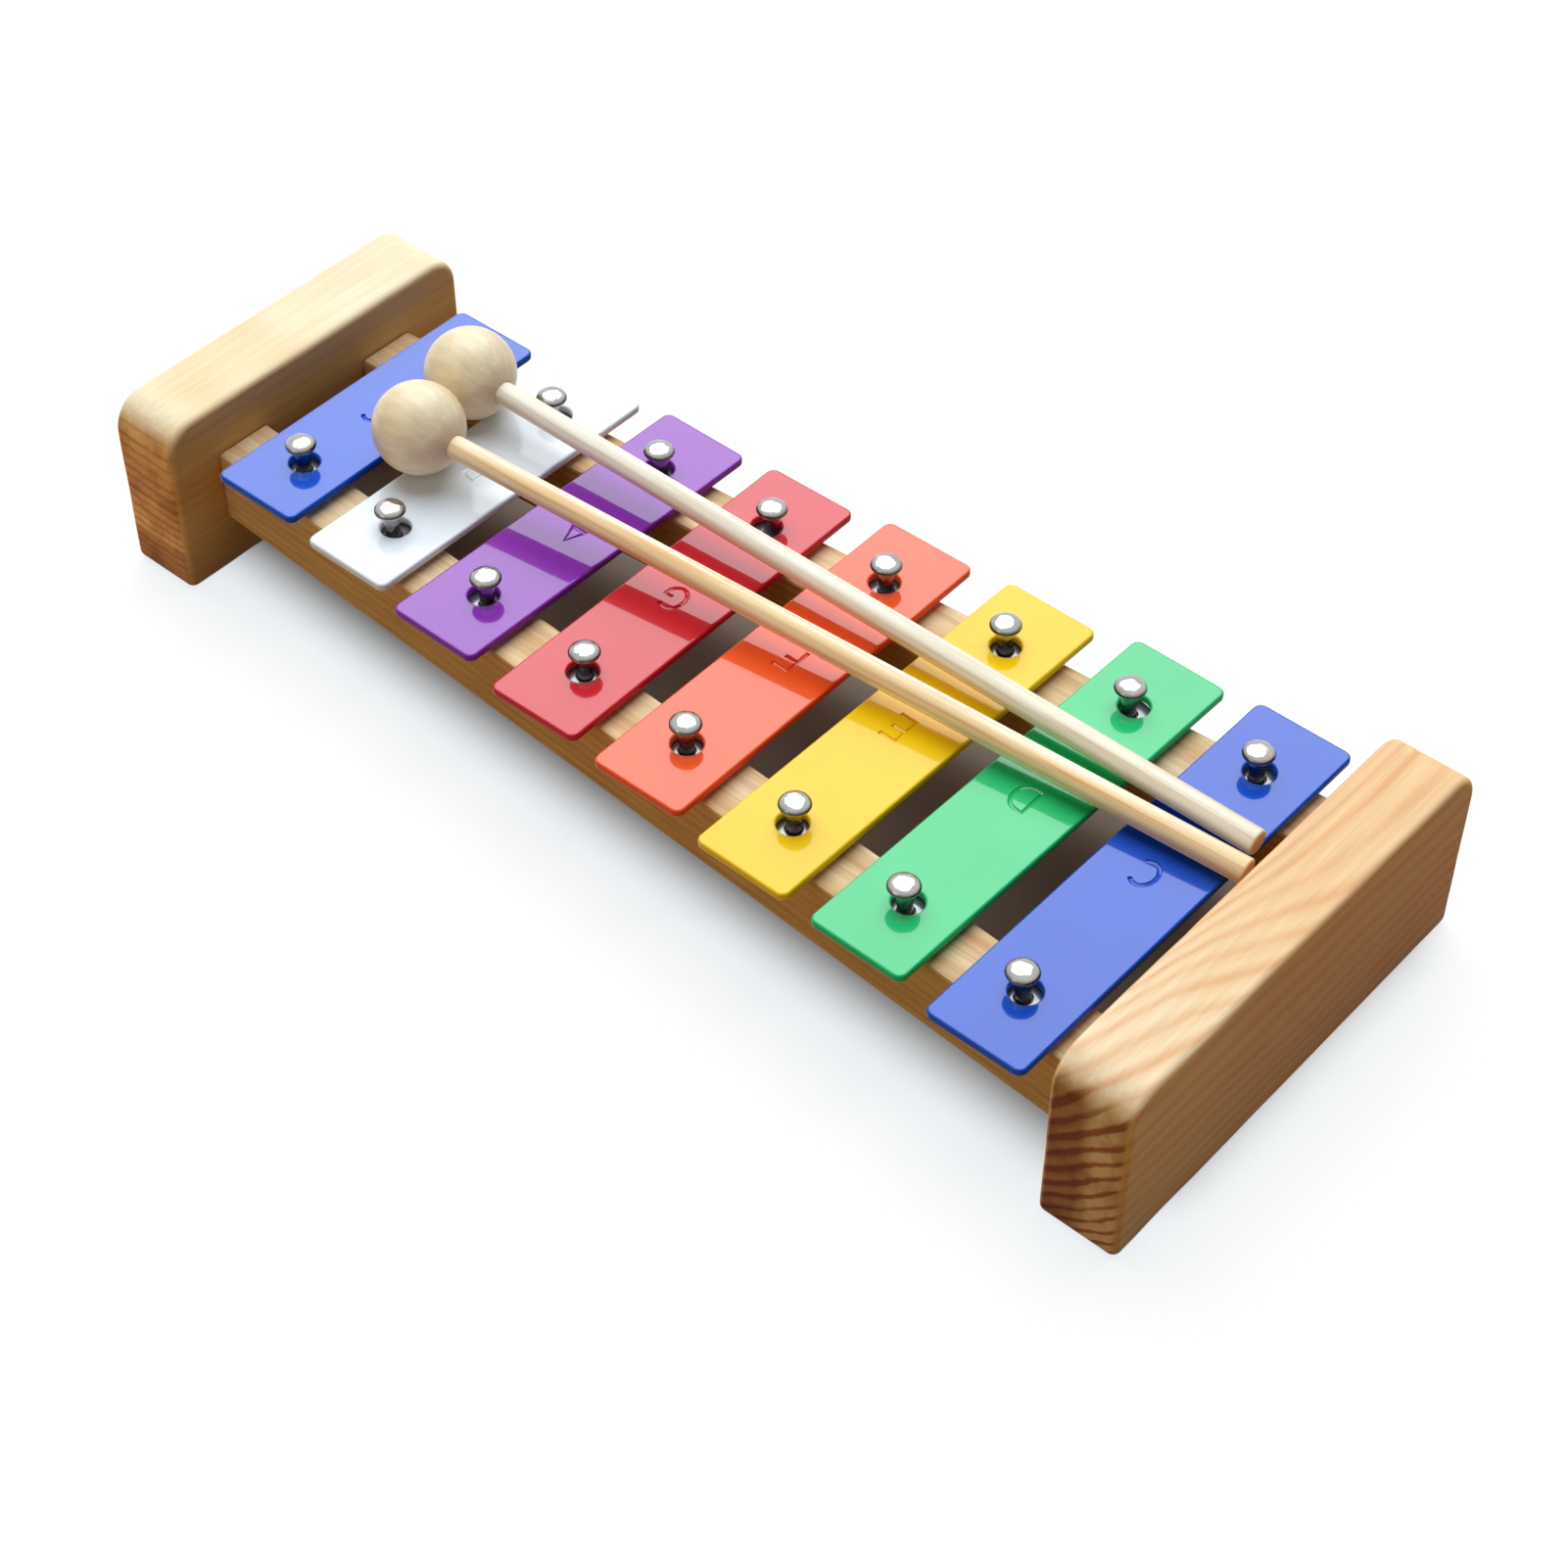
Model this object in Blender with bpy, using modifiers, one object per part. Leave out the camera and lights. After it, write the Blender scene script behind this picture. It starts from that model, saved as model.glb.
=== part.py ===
"""Toy xylophone: eight enamelled bars on two pine rails, held between two pine blocks, with two bead mallets.

Metres, +Z up. The origin is at the middle of the footprint, on the table. The low C bar lies at -X and the
high C bar at +X. The player sits on the -Y side, which is called the front.
"""

import math

import bmesh
import bpy
from mathutils import Matrix, Vector

# Fit between pieces
clearance = 0.0003
cutter_overrun = 0.002

# End blocks
block_thickness = 0.0183
block_height = 0.0448
low_block_length = 0.1124
high_block_length = 0.0872
low_block_setback = 0.0025
block_top_radius = 0.0078
block_bottom_radius = 0.0022
block_edge_radius = 0.0019

# Bars
bar_count = 8
bar_pitch = 0.030
bar_width = 0.023
bar_thickness = 0.002
longest_bar = 0.107
shortest_bar = 0.0753
bar_top_height = 0.0354
bar_corner_radius = 0.0024
bar_edge_radius = 0.0004
bar_row_offset = 0.0005
end_gap = 0.007
bar_hole_diameter = 0.0066

# Washers under the bars
washer_diameter = 0.0094
washer_thickness = 0.001

# Rails
rail_width = 0.0141
rail_height = 0.018
rail_edge_radius = 0.0008
rail_inset_low = 0.0004
rail_inset_high = 0.0007
rail_shift_high = 0.0017

# Nails, whose rows cross each bar at a share of its length
nail_spread_low_share = 0.699
nail_spread_high_share = 0.5975
nail_head_diameter = 0.0068
nail_head_dome = 0.0018
nail_rim_height = 0.0046
nail_rim_roundness = 0.0003
nail_throat_diameter = 0.0041
nail_throat_height = 0.0034
nail_neck_diameter = 0.0034
nail_shank_diameter = 0.0024
nail_shank_length = 0.013
nail_point_length = 0.0025

# Dowels that join the rails to the blocks
dowel_diameter = 0.006
dowel_length = 0.020
dowel_edge_radius = 0.0005

# Mallets
ball_diameter = 0.0205
ball_bore_depth = 0.012
stick_diameter = 0.0052
stick_butt_diameter = 0.0057
stick_edge_radius = 0.0005
front_ball_y = -0.0146
front_heading = math.radians(1.14)
front_butt_share = 0.557
back_ball_y = 0.0063
back_heading = math.radians(4.89)
back_ball_share = 0.42
back_butt_share = 0.682

# How each bar lies on its nails: aside and along as shares of the play in the holes, and its turn in degrees
notes = ("c_low", "d", "e", "f", "g", "a", "b", "c_high")
bar_seat_shares = (
    (-0.25, 0.00),
    (-0.20, -0.45),
    (-0.20, 0.35),
    (0.10, 0.05),
    (0.05, 0.60),
    (0.40, 0.10),
    (-0.25, -0.30),
    (0.00, -0.05),
)
bar_turn_degrees = (0.0, -0.6, -0.3, 0.6, 1.0, -0.3, -0.1, 0.5)

# Mesh fineness
corner_segments = 5
round_steps = 16
ball_steps = 24
ball_arc_steps = 14
dome_steps = 4
nail_steps = 12
weld_distance = 0.00001

# Places that follow from the sizes
frame_inner_length = (bar_count - 1) * bar_pitch + bar_width + 2 * end_gap
inner_half = frame_inner_length / 2
nail_spread_low = longest_bar * nail_spread_low_share
nail_spread_high = shortest_bar * nail_spread_high_share
rail_spread_low = nail_spread_low - 2 * rail_inset_low
rail_spread_high = nail_spread_high - 2 * rail_inset_high
block_middle_x = inner_half + block_thickness / 2
bar_bottom = bar_top_height - bar_thickness
rail_top = bar_bottom - washer_thickness - 2 * clearance
rail_middle_z = rail_top - rail_height / 2
row_y = low_block_setback
low_block_y = 0
hole_play = (bar_hole_diameter - nail_neck_diameter) / 2
sides = {"front": -1, "back": 1}

colours = {
    "blue": (0.022, 0.085, 0.62),
    "green": (0.045, 0.62, 0.17),
    "yellow": (0.95, 0.64, 0.015),
    "orange": (0.90, 0.085, 0.018),
    "red": (0.66, 0.022, 0.030),
    "purple": (0.24, 0.035, 0.46),
    "white": (0.86, 0.90, 0.93),
    "pine": (0.80, 0.56, 0.32),
    "rail_pine": (0.76, 0.52, 0.29),
    "beech": (0.72, 0.50, 0.30),
    "chrome": (0.78, 0.79, 0.80),
    "washer_plastic": (0.62, 0.62, 0.64),
    "ball_wood": (0.78, 0.62, 0.40),
    "stick_wood": (0.84, 0.69, 0.46),
}
bar_colours = ("blue", "green", "yellow", "orange", "red", "purple", "white", "blue")


def clear_scene():
    for old in list(bpy.data.objects):
        bpy.data.objects.remove(old, do_unlink=True)


def new_collection(name):
    collection = bpy.data.collections.new(name)
    bpy.context.scene.collection.children.link(collection)
    return collection


def finish(name, roughness, metallic=0.0, coat=0.0):
    """A plain material in the colour of that name."""
    material = bpy.data.materials.new(name)
    material.use_nodes = True
    shader = material.node_tree.nodes["Principled BSDF"]
    shader.inputs["Base Color"].default_value = (*colours[name], 1.0)
    shader.inputs["Roughness"].default_value = roughness
    shader.inputs["Metallic"].default_value = metallic
    shader.inputs["Coat Weight"].default_value = coat
    return material


def place(name, mesh, material, location=(0, 0, 0)):
    """One named piece of the part, in the part's collection."""
    piece = bpy.data.objects.new(name, mesh)
    piece.location = location
    mesh.materials.append(material)
    part_collection.objects.link(piece)
    return piece


def mesh_from(name, shape):
    mesh = bpy.data.meshes.new(name)
    shape.to_mesh(mesh)
    shape.free()
    return mesh


def smooth(mesh):
    """Round faces shaded smooth, with real corners kept sharp."""
    mesh.shade_smooth()
    mesh.set_sharp_from_angle(angle=math.radians(40))


def sized_cube(size):
    shape = bmesh.new()
    bmesh.ops.create_cube(shape, size=1)
    bmesh.ops.scale(shape, vec=Vector(size), verts=shape.verts)
    return shape


def edges_along(shape, axis):
    """The edges of a box that run along one axis: 0, 1 or 2 for X, Y or Z."""
    found = []
    for edge in shape.edges:
        run = edge.verts[1].co - edge.verts[0].co
        if abs(run[axis]) > 0.99 * run.length:
            found.append(edge)
    return found


def round_edges(shape, edges, radius, segments):
    bmesh.ops.bevel(
        shape, geom=edges, offset=radius, offset_type="OFFSET", segments=segments, profile=0.5, affect="EDGES"
    )


def soften(piece, radius, segments):
    """A small rounding on every real corner of a piece."""
    bevel = piece.modifiers.new("soft_edges", "BEVEL")
    bevel.width = radius
    bevel.segments = segments
    bevel.limit_method = "ANGLE"
    bevel.angle_limit = math.radians(50)


def drill(piece, name, centres, diameter, depth, axis="Z"):
    """Round holes in a piece, all along one axis, each with its middle at the point given."""
    turn = Matrix.Rotation(math.pi / 2, 4, "Y") if axis == "X" else Matrix.Identity(4)
    shape = bmesh.new()
    for centre in centres:
        bmesh.ops.create_cone(
            shape,
            cap_ends=True,
            segments=round_steps,
            radius1=diameter / 2,
            radius2=diameter / 2,
            depth=depth,
            matrix=Matrix.Translation(centre) @ turn,
        )
    cutter = bpy.data.objects.new(name, mesh_from(name, shape))
    cutter.hide_render = True
    cutter.display_type = "WIRE"
    cutter_collection.objects.link(cutter)
    cut = piece.modifiers.new(name, "BOOLEAN")
    cut.operation = "DIFFERENCE"
    cut.solver = "EXACT"
    cut.object = cutter


def turned(name, profile, material, steps=round_steps, closed=False):
    """A lathe-turned piece about its own Z axis, from (radius, height) points down its outer side."""
    mesh = bpy.data.meshes.new(name)
    count = len(profile)
    edges = [(i, i + 1) for i in range(count - 1)]
    if closed:
        edges.append((count - 1, 0))
    mesh.from_pydata([(radius, 0, height) for radius, height in profile], edges, [])
    piece = place(name, mesh, material)
    spin = piece.modifiers.new("turned", "SCREW")
    spin.axis = "Z"
    spin.angle = math.tau
    spin.steps = steps
    spin.render_steps = steps
    spin.use_merge_vertices = True
    spin.merge_threshold = weld_distance
    spin.use_smooth_shade = True
    return piece


def along_row(x):
    """How far a place lies from the low block's inner face to the high one's, from 0 to 1."""
    return (x + inner_half) / frame_inner_length


def bar_x(index):
    return (index - (bar_count - 1) / 2) * bar_pitch - bar_row_offset


def bar_length(index):
    return longest_bar + (shortest_bar - longest_bar) * index / (bar_count - 1)


def nail_y(side, index):
    spread = nail_spread_low + (nail_spread_high - nail_spread_low) * index / (bar_count - 1)
    return row_y + side * spread / 2


def rail_y(side, x):
    """The middle line of a rail. The rails run closer together toward the high notes."""
    share = along_row(x)
    spread = rail_spread_low + (rail_spread_high - rail_spread_low) * share
    return row_y + rail_shift_high * share + side * spread / 2


def dowel_places(block_side):
    """Where the two dowels cross a block's inner face."""
    x = block_side * inner_half
    return [Vector((x, rail_y(side, x), rail_middle_z)) for side in sides.values()]


def make_block(name, block_side, length, y, material):
    """An end block: a board on edge with round corners at its ends and softened long edges."""
    shape = sized_cube((block_thickness, length, block_height))
    corners = edges_along(shape, 0)
    top = [edge for edge in corners if edge.verts[0].co.z > 0]
    bottom = [edge for edge in corners if edge.verts[0].co.z < 0]
    round_edges(shape, top, block_top_radius, corner_segments)
    round_edges(shape, bottom, block_bottom_radius, corner_segments)
    mesh = mesh_from(name, shape)
    smooth(mesh)
    piece = place(name, mesh, material, (block_side * block_middle_x, y, block_height / 2))
    soften(piece, block_edge_radius, 2)
    bore = dowel_diameter + 2 * clearance
    drill(piece, name + "_bores", dowel_places(block_side), bore, dowel_length + 2 * clearance, "X")


def make_rail(name, side, material):
    """A rail between the blocks, sheared so that its ends lie flat against them, with a pilot hole for each nail."""
    length = frame_inner_length - 2 * clearance
    shape = sized_cube((length, rail_width, rail_height))
    slope = (rail_y(side, inner_half) - rail_y(side, -inner_half)) / frame_inner_length
    shear = Matrix.Identity(4)
    shear[1][0] = slope
    bmesh.ops.transform(shape, matrix=shear, verts=shape.verts)
    round_edges(shape, edges_along(shape, 0), rail_edge_radius, 2)
    mesh = mesh_from(name, shape)
    smooth(mesh)
    piece = place(name, mesh, material, (0, rail_y(side, 0), rail_middle_z))
    pilot_length = nail_shank_length + clearance + cutter_overrun
    pilot_middle = rail_top + cutter_overrun - pilot_length / 2
    pilots = [Vector((bar_x(i), nail_y(side, i), pilot_middle)) for i in range(bar_count)]
    drill(piece, name + "_pilots", pilots, nail_shank_diameter + 2 * clearance, pilot_length)
    ends = [Vector((end * inner_half, rail_y(side, end * inner_half), rail_middle_z)) for end in (-1, 1)]
    drill(piece, name + "_bores", ends, dowel_diameter + 2 * clearance, dowel_length + 2 * clearance, "X")


def make_dowels(material):
    """Plain dowels, half in a block and half in a rail's end."""
    for block, block_side in (("low", -1), ("high", 1)):
        for side, centre in zip(sides, dowel_places(block_side)):
            name = f"dowel_{block}_{side}"
            shape = bmesh.new()
            bmesh.ops.create_cone(
                shape,
                cap_ends=True,
                segments=round_steps,
                radius1=dowel_diameter / 2,
                radius2=dowel_diameter / 2,
                depth=dowel_length,
                matrix=Matrix.Rotation(math.pi / 2, 4, "Y"),
            )
            mesh = mesh_from(name, shape)
            smooth(mesh)
            dowel = place(name, mesh, material, centre)
            soften(dowel, dowel_edge_radius, 1)


def make_bar(index, material):
    """A flat bar with round corners and a hole near each end, lying a little loose on its two nails."""
    name = "bar_" + notes[index]
    shape = sized_cube((bar_width, bar_length(index), bar_thickness))
    round_edges(shape, edges_along(shape, 2), bar_corner_radius, corner_segments)
    mesh = mesh_from(name, shape)
    smooth(mesh)
    aside, along = bar_seat_shares[index]
    seat = Vector((bar_x(index) + aside * hole_play, row_y + along * hole_play, bar_bottom + bar_thickness / 2))
    bar = place(name, mesh, material, seat)
    bar.rotation_euler.z = math.radians(bar_turn_degrees[index])
    soften(bar, bar_edge_radius, 1)
    turn = Matrix.Rotation(bar.rotation_euler.z, 4, "Z")
    holes = [seat + turn @ Vector((0, nail_y(side, index) - row_y, 0)) for side in sides.values()]
    drill(bar, name + "_holes", holes, bar_hole_diameter, bar_thickness + 2 * cutter_overrun)


def nail_profile():
    """Dome, rounded rim, flaring throat, neck, shoulder on the rail, shank and point, about the rail's top at 0."""
    lift = bar_top_height - rail_top
    rim = nail_head_diameter / 2
    rim_z = lift + nail_rim_height
    points = []
    for step in range(dome_steps + 1):
        angle = math.pi / 2 * (1 - step / dome_steps)
        points.append((rim * math.cos(angle), rim_z + nail_head_dome * math.sin(angle)))
    points[0] = (0, rim_z + nail_head_dome)
    points.append((rim - nail_rim_roundness, rim_z - nail_rim_roundness))
    points.append((nail_throat_diameter / 2, lift + nail_throat_height))
    points.append((nail_neck_diameter / 2, lift))
    points.append((nail_neck_diameter / 2, clearance))
    points.append((nail_shank_diameter / 2, clearance))
    points.append((nail_shank_diameter / 2, nail_point_length - nail_shank_length))
    points.append((0, -nail_shank_length))
    return points


def washer_profile():
    outer = washer_diameter / 2
    inner = nail_neck_diameter / 2 + clearance
    return [(outer, washer_thickness), (outer, 0), (inner, 0), (inner, washer_thickness)]


def make_nails_and_washers(chrome, washer_plastic):
    for index, note in enumerate(notes):
        for side_name, side in sides.items():
            foot = Vector((bar_x(index), nail_y(side, index), rail_top))
            nail = turned(f"nail_{note}_{side_name}", nail_profile(), chrome, steps=nail_steps)
            nail.location = foot
            ring = washer_profile()
            washer = turned(f"washer_{note}_{side_name}", ring, washer_plastic, steps=nail_steps, closed=True)
            washer.location = foot + Vector((0, 0, clearance))


def ball_profile():
    """A bead about its centre, with a blind bore for the stick at its bottom."""
    radius = ball_diameter / 2
    bore = stick_diameter / 2 + clearance
    mouth_angle = math.pi - math.asin(bore / radius)
    points = []
    for step in range(ball_arc_steps + 1):
        angle = mouth_angle * step / ball_arc_steps
        points.append((radius * math.sin(angle), radius * math.cos(angle)))
    bore_end = ball_bore_depth - radius
    points.append((bore, bore_end))
    points.append((0, bore_end))
    return points


def stick_profile(length):
    """A round stick, a little thicker at its butt, with its other end in the ball's bore, about the ball's centre."""
    radius = stick_diameter / 2
    butt = stick_butt_diameter / 2
    top = ball_bore_depth - clearance - ball_diameter / 2
    edge = stick_edge_radius
    return [
        (0, top),
        (radius - edge, top),
        (radius, top - edge),
        (radius, -ball_diameter / 2),
        (butt, edge - length),
        (butt - edge, -length),
        (0, -length),
    ]


def make_mallet(side_name, ball_centre, heading, butt_share, ball_wood, stick_wood):
    """A mallet lying across the bars: its ball on the high bars and its butt by the edge of the low C bar."""
    butt_height = bar_top_height + stick_butt_diameter / 2 + clearance
    run = ball_centre.x - bar_x(0) + butt_share * bar_width
    to_ball = Vector((run, run * math.tan(heading), ball_centre.z - butt_height))
    mallet = bpy.data.objects.new("mallet_" + side_name, None)
    mallet.location = ball_centre
    mallet.rotation_mode = "QUATERNION"
    mallet.rotation_quaternion = to_ball.to_track_quat("Z", "Y")
    part_collection.objects.link(mallet)
    ball = turned(f"mallet_ball_{side_name}", ball_profile(), ball_wood, steps=ball_steps)
    stick = turned(f"mallet_stick_{side_name}", stick_profile(to_ball.length), stick_wood)
    ball.parent = mallet
    stick.parent = mallet


def make_mallets(ball_wood, stick_wood):
    radius = ball_diameter / 2
    half_gap = (bar_pitch - bar_width) / 2
    last = bar_count - 1
    sunk = math.sqrt((radius + clearance) ** 2 - half_gap**2)
    front_x = (bar_x(last) + bar_x(last - 1)) / 2
    front_ball = Vector((front_x, row_y + front_ball_y, bar_top_height + sunk))
    make_mallet("front", front_ball, front_heading, front_butt_share, ball_wood, stick_wood)
    back_x = bar_x(last - 1) + back_ball_share * bar_width
    back_ball = Vector((back_x, row_y + back_ball_y, bar_top_height + radius + clearance))
    make_mallet("back", back_ball, back_heading, back_butt_share, ball_wood, stick_wood)


clear_scene()
part_collection = new_collection("toy_xylophone")
cutter_collection = new_collection("cutters")

pine = finish("pine", roughness=0.5)
make_block("end_block_low", -1, low_block_length, low_block_y, pine)
make_block("end_block_high", 1, high_block_length, row_y, pine)

rail_pine = finish("rail_pine", roughness=0.5)
for side_name, side in sides.items():
    make_rail(f"rail_{side_name}", side, rail_pine)
make_dowels(finish("beech", roughness=0.55))

enamels = {colour: finish(colour, roughness=0.12, coat=0.5) for colour in dict.fromkeys(bar_colours)}
for index, colour in enumerate(bar_colours):
    make_bar(index, enamels[colour])

make_nails_and_washers(finish("chrome", roughness=0.1, metallic=1.0), finish("washer_plastic", roughness=0.35))
make_mallets(finish("ball_wood", roughness=0.4), finish("stick_wood", roughness=0.45))
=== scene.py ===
import math

import bmesh
import bpy
from mathutils import Euler, Matrix, Vector, noise


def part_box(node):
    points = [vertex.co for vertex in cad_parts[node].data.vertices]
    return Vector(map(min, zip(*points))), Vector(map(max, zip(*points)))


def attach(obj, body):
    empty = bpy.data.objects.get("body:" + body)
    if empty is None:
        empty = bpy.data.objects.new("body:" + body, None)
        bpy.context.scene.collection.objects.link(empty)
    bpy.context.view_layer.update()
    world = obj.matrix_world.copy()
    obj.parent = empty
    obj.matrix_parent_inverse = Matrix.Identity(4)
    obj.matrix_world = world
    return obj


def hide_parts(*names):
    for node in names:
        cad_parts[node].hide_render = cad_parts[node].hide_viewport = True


# Toy xylophone: eight enamelled bars on a pine frame, with two bead mallets lying across them.
# Metres, +Z up. Low C is at -X, high C at +X, and the player sits on the -Y side.

mm = 0.001
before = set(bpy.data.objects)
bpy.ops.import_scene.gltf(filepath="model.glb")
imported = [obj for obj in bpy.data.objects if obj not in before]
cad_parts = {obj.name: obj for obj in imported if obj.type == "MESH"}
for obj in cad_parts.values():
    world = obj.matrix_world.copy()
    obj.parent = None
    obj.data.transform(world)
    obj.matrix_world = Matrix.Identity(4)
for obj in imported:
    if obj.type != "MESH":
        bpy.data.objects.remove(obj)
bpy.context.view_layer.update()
print("frame loaded")


# small helpers for meshes and node materials

def addPiece(name, mesh, material, body, stands):
    piece = bpy.data.objects.new(name, mesh)
    bpy.context.scene.collection.objects.link(piece)
    mesh.materials.clear()
    mesh.materials.append(material)
    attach(piece, body)
    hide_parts(*stands)
    return piece


def evaluatedMesh(piece, name):
    # the mesh a piece has once its modifiers or its curve settings are worked in; the helper piece goes
    graph = bpy.context.evaluated_depsgraph_get()
    mesh = bpy.data.meshes.new_from_object(piece.evaluated_get(graph), depsgraph=graph)
    mesh.name = name
    bpy.data.objects.remove(piece)
    return mesh


def helperPiece(name, data):
    piece = bpy.data.objects.new(name, data)
    bpy.context.scene.collection.objects.link(piece)
    return piece


def smoothMesh(mesh, angle):
    mesh.shade_smooth()
    mesh.set_sharp_from_angle(angle=math.radians(angle))


def spinProfile(name, profile, steps):
    # (radius, height) points from the top axis down the outside to the bottom axis
    shape = bmesh.new()
    turn = [math.tau * k / steps for k in range(steps)]
    rings = []
    for radius, height in profile:
        if radius == 0:   # a single corner on the axis
            rings.append([shape.verts.new((0, 0, height))])
        else:
            rings.append([shape.verts.new((radius * math.cos(a), radius * math.sin(a), height)) for a in turn])
    for upper, lower in zip(rings, rings[1:]):
        for k in range(steps):
            after = (k + 1) % steps
            spots = ((upper, k), (lower, k), (lower, after), (upper, after))
            corners = list(dict.fromkeys(ring[spot % len(ring)] for ring, spot in spots))
            if len(corners) > 2:
                shape.faces.new(corners)
    bmesh.ops.recalc_face_normals(shape, faces=shape.faces)
    mesh = bpy.data.meshes.new(name)
    shape.to_mesh(mesh)
    shape.free()
    return mesh


def arcPoints(centreX, centreY, radiusX, radiusY, fromDegrees, toDegrees, steps):
    angles = [math.radians(fromDegrees + (toDegrees - fromDegrees) * k / steps) for k in range(steps + 1)]
    return [(centreX + radiusX * math.cos(a), centreY + radiusY * math.sin(a)) for a in angles]


def newMaterial(name):
    material = bpy.data.materials.new(name)
    material.use_nodes = True
    nodes = material.node_tree.nodes
    return material, nodes, material.node_tree.links, nodes["Principled BSDF"]


def mathNode(nodes, links, kind, a, b=None, c=None, clamp=False):
    node = nodes.new("ShaderNodeMath")
    node.operation = kind
    node.use_clamp = clamp
    for socket, value in zip(node.inputs, (a, b, c)):
        if value is None:
            continue
        if isinstance(value, (int, float)):
            socket.default_value = value
        else:
            links.new(value, socket)
    return node.outputs[0]


def scaledPlace(nodes, links, scale, shift=(0, 0, 0)):
    # the piece's own coordinates, stretched and shifted
    place = nodes.new("ShaderNodeTexCoord")
    mapping = nodes.new("ShaderNodeMapping")
    mapping.inputs["Scale"].default_value = scale
    mapping.inputs["Location"].default_value = shift
    links.new(place.outputs["Object"], mapping.inputs["Vector"])
    return mapping.outputs["Vector"]


noiseMiddle = 0.5   # every noise runs from 0 to 1


def noiseNode(nodes, links, vector, scale, detail=2.0, roughness=0.5):
    node = nodes.new("ShaderNodeTexNoise")
    node.inputs["Scale"].default_value = scale
    node.inputs["Detail"].default_value = detail
    node.inputs["Roughness"].default_value = roughness
    links.new(vector, node.inputs["Vector"])
    return node.outputs["Fac"]


def rampNode(nodes, links, factor, stops):
    node = nodes.new("ShaderNodeValToRGB")
    ramp = node.color_ramp
    ramp.interpolation = "EASE"
    while len(ramp.elements) < len(stops):
        ramp.elements.new(0.5)   # moved to its own place below
    for element, (place, colour) in zip(ramp.elements, stops):
        element.position = place
        element.color = (*colour, 1.0)
    links.new(factor, node.inputs["Fac"])
    return node.outputs["Color"]


def mixColour(nodes, links, kind, factor, a, b):
    node = nodes.new("ShaderNodeMix")
    node.data_type = "RGBA"
    node.blend_type = kind
    for socket, value in ((node.inputs["Factor"], factor), (node.inputs["A"], a), (node.inputs["B"], b)):
        if isinstance(value, (int, float)):
            socket.default_value = value
        elif isinstance(value, tuple):
            socket.default_value = (*value, 1.0)
        else:
            links.new(value, socket)
    return node.outputs["Result"]


def bumpNode(nodes, links, height, distance, strength, before=None):
    node = nodes.new("ShaderNodeBump")
    node.inputs["Distance"].default_value = distance
    node.inputs["Strength"].default_value = strength
    links.new(height, node.inputs["Height"])
    if before is not None:
        links.new(before, node.inputs["Normal"])
    return node.outputs["Normal"]


def shareNode(nodes, links, value, line):
    # a share held between 0 and 1, from the slope and the start of its line
    return mathNode(nodes, links, "MULTIPLY_ADD", value, line[0], line[1], clamp=True)


def fadeNode(nodes, links, factor, span, tint):
    # plain where the factor is low and tinted where it is high
    return rampNode(nodes, links, factor, ((span[0], (1, 1, 1)), (span[1], tint)))


def facingAxes(nodes, links):
    geometry = nodes.new("ShaderNodeNewGeometry")
    facing = nodes.new("ShaderNodeSeparateXYZ")
    links.new(geometry.outputs["Normal"], facing.inputs[0])
    return facing.outputs


# wood

board = {"thickness": 18.3 * mm, "height": 44.8 * mm}
grain = {   # how the faces of every board show its wood; a pair named for a face or an end is the line of a share
    "upperFace": (2.0, -0.7), "uprightFace": (-1.6, 1.3), "sawnEnd": (3.6, -2.5), "squareEnd": (4.0, -3.0),
    "runOutBlend": 30.0 * mm, "swingPower": 5.0, "swingMiddle": 0.50, "swingFromEnd": (-40.0, 0.0),
    "sawingStretch": (1, 0.2, 1), "sawingScale": 340.0, "patchGain": 2.0, "patchLoss": 1.2,
    "patchNoise": (2.0, 0.6), "stainNoise": (3.0, 0.6), "fibreNoise": (4.0, 0.65),   # detail and roughness
    "endContrast": (2.5, -1.15), "squareEndDarker": 0.45, "innerDarker": 0.45, "innerDarkSlope": 260.0,
    "farEnd": (-24.0, -0.5), "stainStretch": (130, 60, 90), "stainSpan": (0.40, 0.64), "blushSpan": (0.40, 0.66),
    "fibreSpan": (0.30, 0.70), "fibreLight": (1.03, 1.03, 1.03), "fibreRoughness": 0.18,
    "specular": 0.05, "coatRoughness": 0.28, "depth": 0.05 * mm, "fibreBump": 0.5, "ringBump": 0.35,
}


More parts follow.
